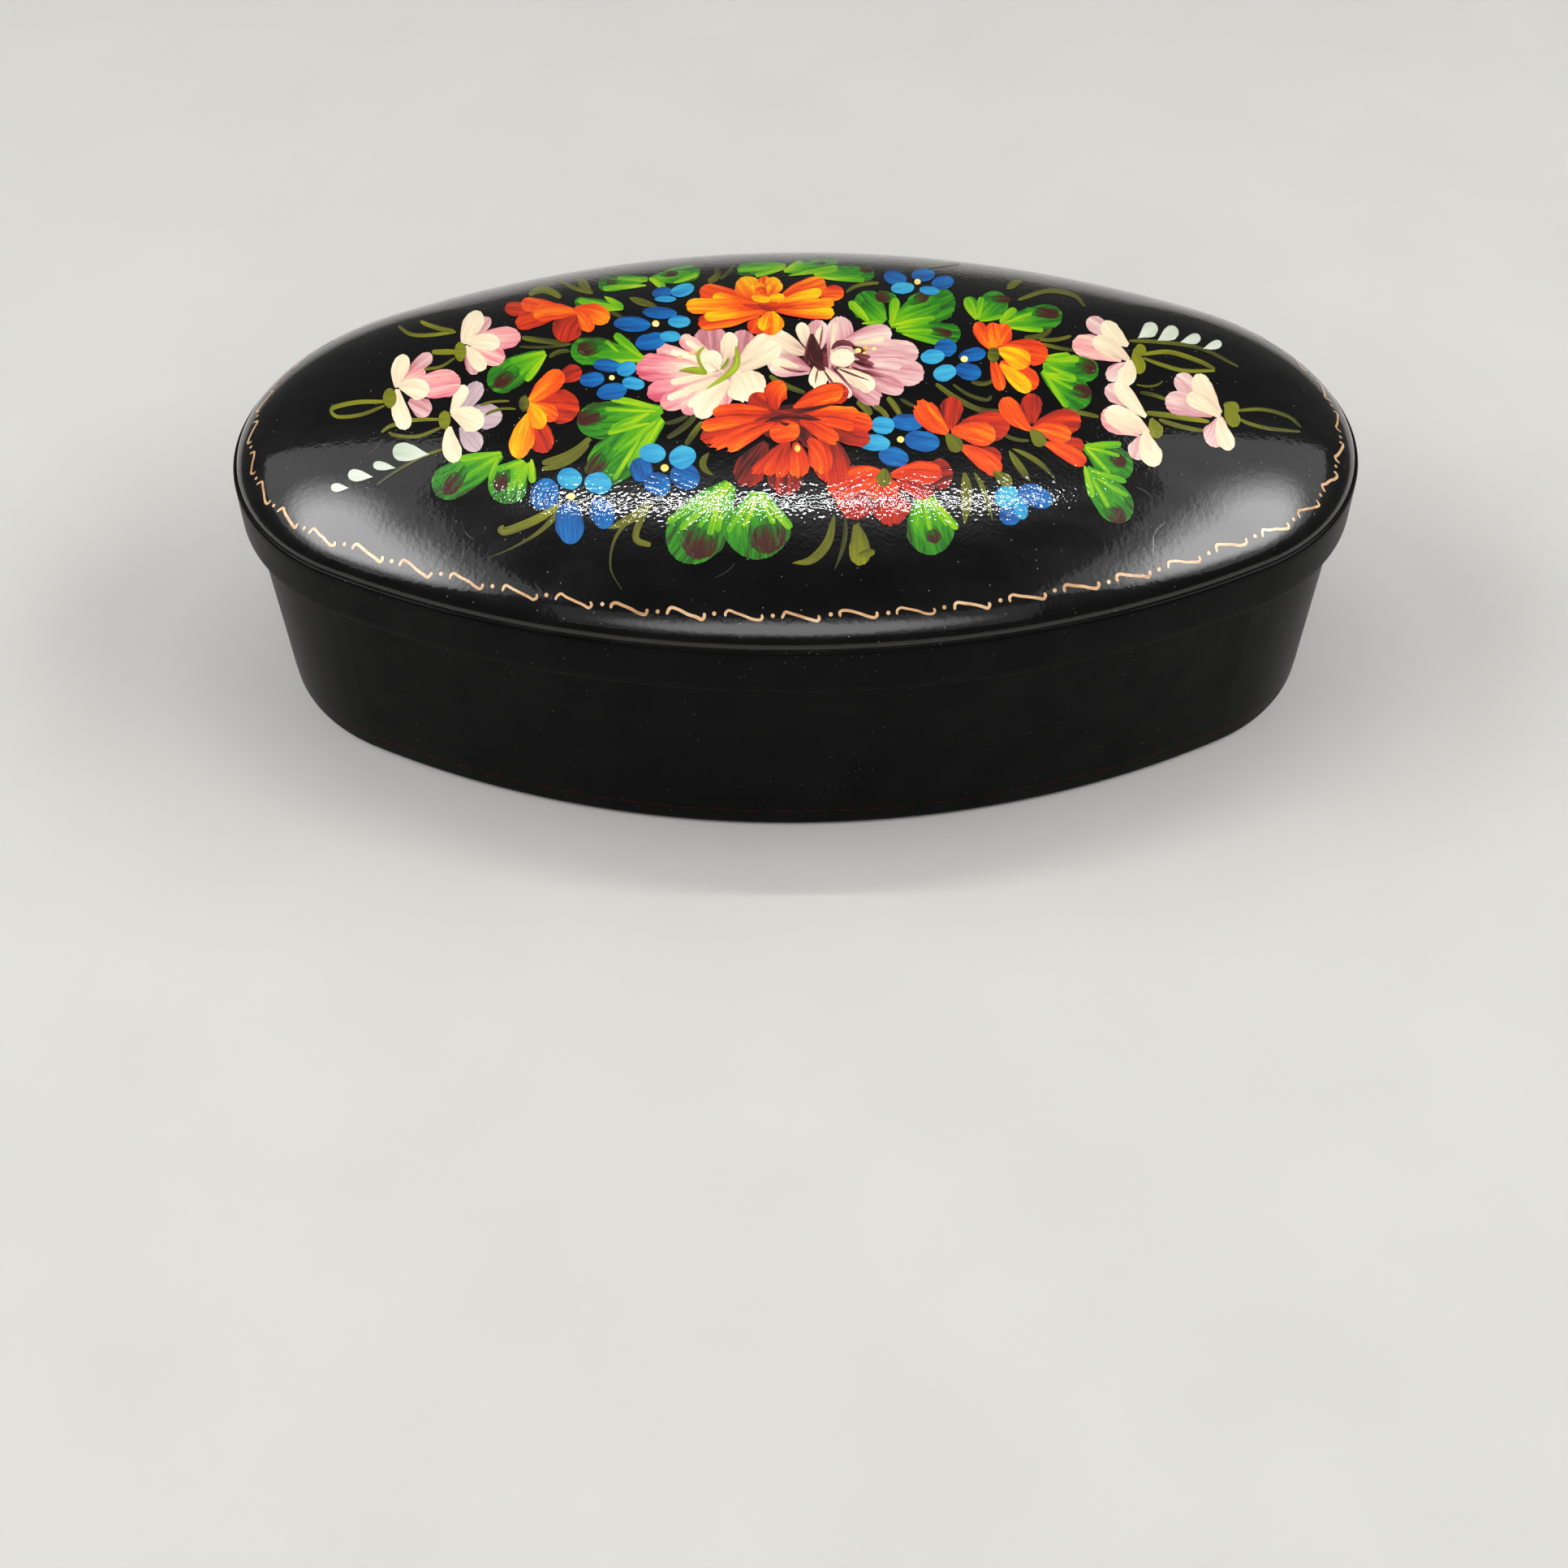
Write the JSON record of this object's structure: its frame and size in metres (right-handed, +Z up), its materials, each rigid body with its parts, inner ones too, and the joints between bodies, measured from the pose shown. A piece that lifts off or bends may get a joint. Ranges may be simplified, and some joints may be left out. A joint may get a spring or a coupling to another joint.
{
  "type": "oval lacquer box",
  "caption": "Oval hinged keepsake box with a domed, overhanging lid, flower-painted gloss black outside and red inside, for small treasures.",
  "frame": {"origin": "middle of the box's footprint, on the flat underside that it stands on", "axes": "+Z up; +X along the box's length, to the right as seen from the front; +Y towards the back, where the hinge is"},
  "size_m": [0.149, 0.08, 0.0489],
  "materials": {
    "black_lacquer": "black lacquer over papier-mache, polished to a deep gloss",
    "red_lacquer": "vermilion red lacquer, polished",
    "hinge_brass": "drawn and rolled brass, lightly tarnished",
    "painted_flowers": "oil paint strokes under clear lacquer",
    "gold_paint": "fine gold line painting under clear lacquer"
  },
  "bodies": {
    "base": {"base_bottom": "black_lacquer", "base_wall": "black_lacquer", "base_liner": "red_lacquer", "hinge_leaf_base": "hinge_brass", "hinge_pin": "hinge_brass", "base_brads": "hinge_brass"},
    "lid": {"lid_band": "black_lacquer", "lid_dome": "black_lacquer", "hinge_leaf_lid": "hinge_brass", "lid_brads": "hinge_brass"}
  },
  "joints": [
    {"name": "lid_hinge", "type": "hinge", "parent": "base", "child": "lid", "pos_m": [0, 0.0388, 0.028], "axis": [-1, 0, 0], "range_deg": [0, 96]}
  ]
}
